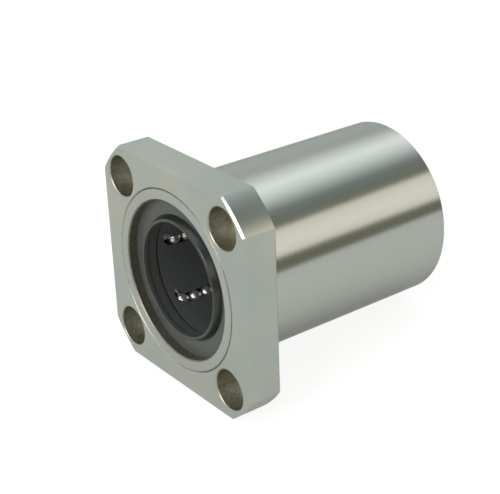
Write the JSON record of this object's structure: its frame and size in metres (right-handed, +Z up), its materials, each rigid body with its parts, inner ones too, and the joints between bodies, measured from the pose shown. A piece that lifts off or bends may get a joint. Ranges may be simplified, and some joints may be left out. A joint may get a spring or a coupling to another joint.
{
  "type": "flanged linear bearing",
  "caption": "Ball bearing for straight travel on a round shaft, with a square mounting flange at one end, counterbored screw holes and a sealed bore.",
  "frame": {"origin": "centre of the flange's mounting face, on the bore axis", "axes": "+Y along the bore axis, from the flange to the far end of the sleeve; +Z up, square to two edges of the flange; +X to the right when the flange's outer face is looked at"},
  "size_m": [0.05, 0.059, 0.05],
  "materials": {
    "ground_steel": "ground and polished",
    "flange_steel": "fine satin",
    "cage_resin": "moulded, matte",
    "seal_rubber": "moulded, half matte",
    "spring_steel": "dark spring steel",
    "ring_steel": "stamped",
    "ball_steel": "polished"
  },
  "bodies": {
    "bearing": {"outer_sleeve": "ground_steel", "mounting_flange": "flange_steel", "ball_cage": "cage_resin", "front_seal": "seal_rubber", "rear_seal": "seal_rubber", "front_snap_ring": "spring_steel", "rear_snap_ring": "spring_steel", "front_end_ring": "ring_steel", "rear_end_ring": "ring_steel", "return_balls_1": "ball_steel", "return_balls_2": "ball_steel", "return_balls_3": "ball_steel", "return_balls_4": "ball_steel", "return_balls_5": "ball_steel", "return_balls_6": "ball_steel"},
    "ball_row_1": {"loaded_balls_1": "ball_steel"},
    "ball_row_2": {"loaded_balls_2": "ball_steel"},
    "ball_row_3": {"loaded_balls_3": "ball_steel"},
    "ball_row_4": {"loaded_balls_4": "ball_steel"},
    "ball_row_5": {"loaded_balls_5": "ball_steel"},
    "ball_row_6": {"loaded_balls_6": "ball_steel"}
  },
  "joints": [
    {"name": "row_1_roll", "type": "slide", "parent": "bearing", "child": "ball_row_1", "axis": [0, 1, 0], "range_m": [0, 0.0011]},
    {"name": "row_2_roll", "type": "slide", "parent": "bearing", "child": "ball_row_2", "axis": [0, 1, 0], "range_m": [0, 0.0011]},
    {"name": "row_3_roll", "type": "slide", "parent": "bearing", "child": "ball_row_3", "axis": [0, 1, 0], "range_m": [0, 0.0011]},
    {"name": "row_4_roll", "type": "slide", "parent": "bearing", "child": "ball_row_4", "axis": [0, 1, 0], "range_m": [0, 0.0013]},
    {"name": "row_5_roll", "type": "slide", "parent": "bearing", "child": "ball_row_5", "axis": [0, 1, 0], "range_m": [0, 0.0011]},
    {"name": "row_6_roll", "type": "slide", "parent": "bearing", "child": "ball_row_6", "axis": [0, 1, 0], "range_m": [0, 0.0012]}
  ]
}
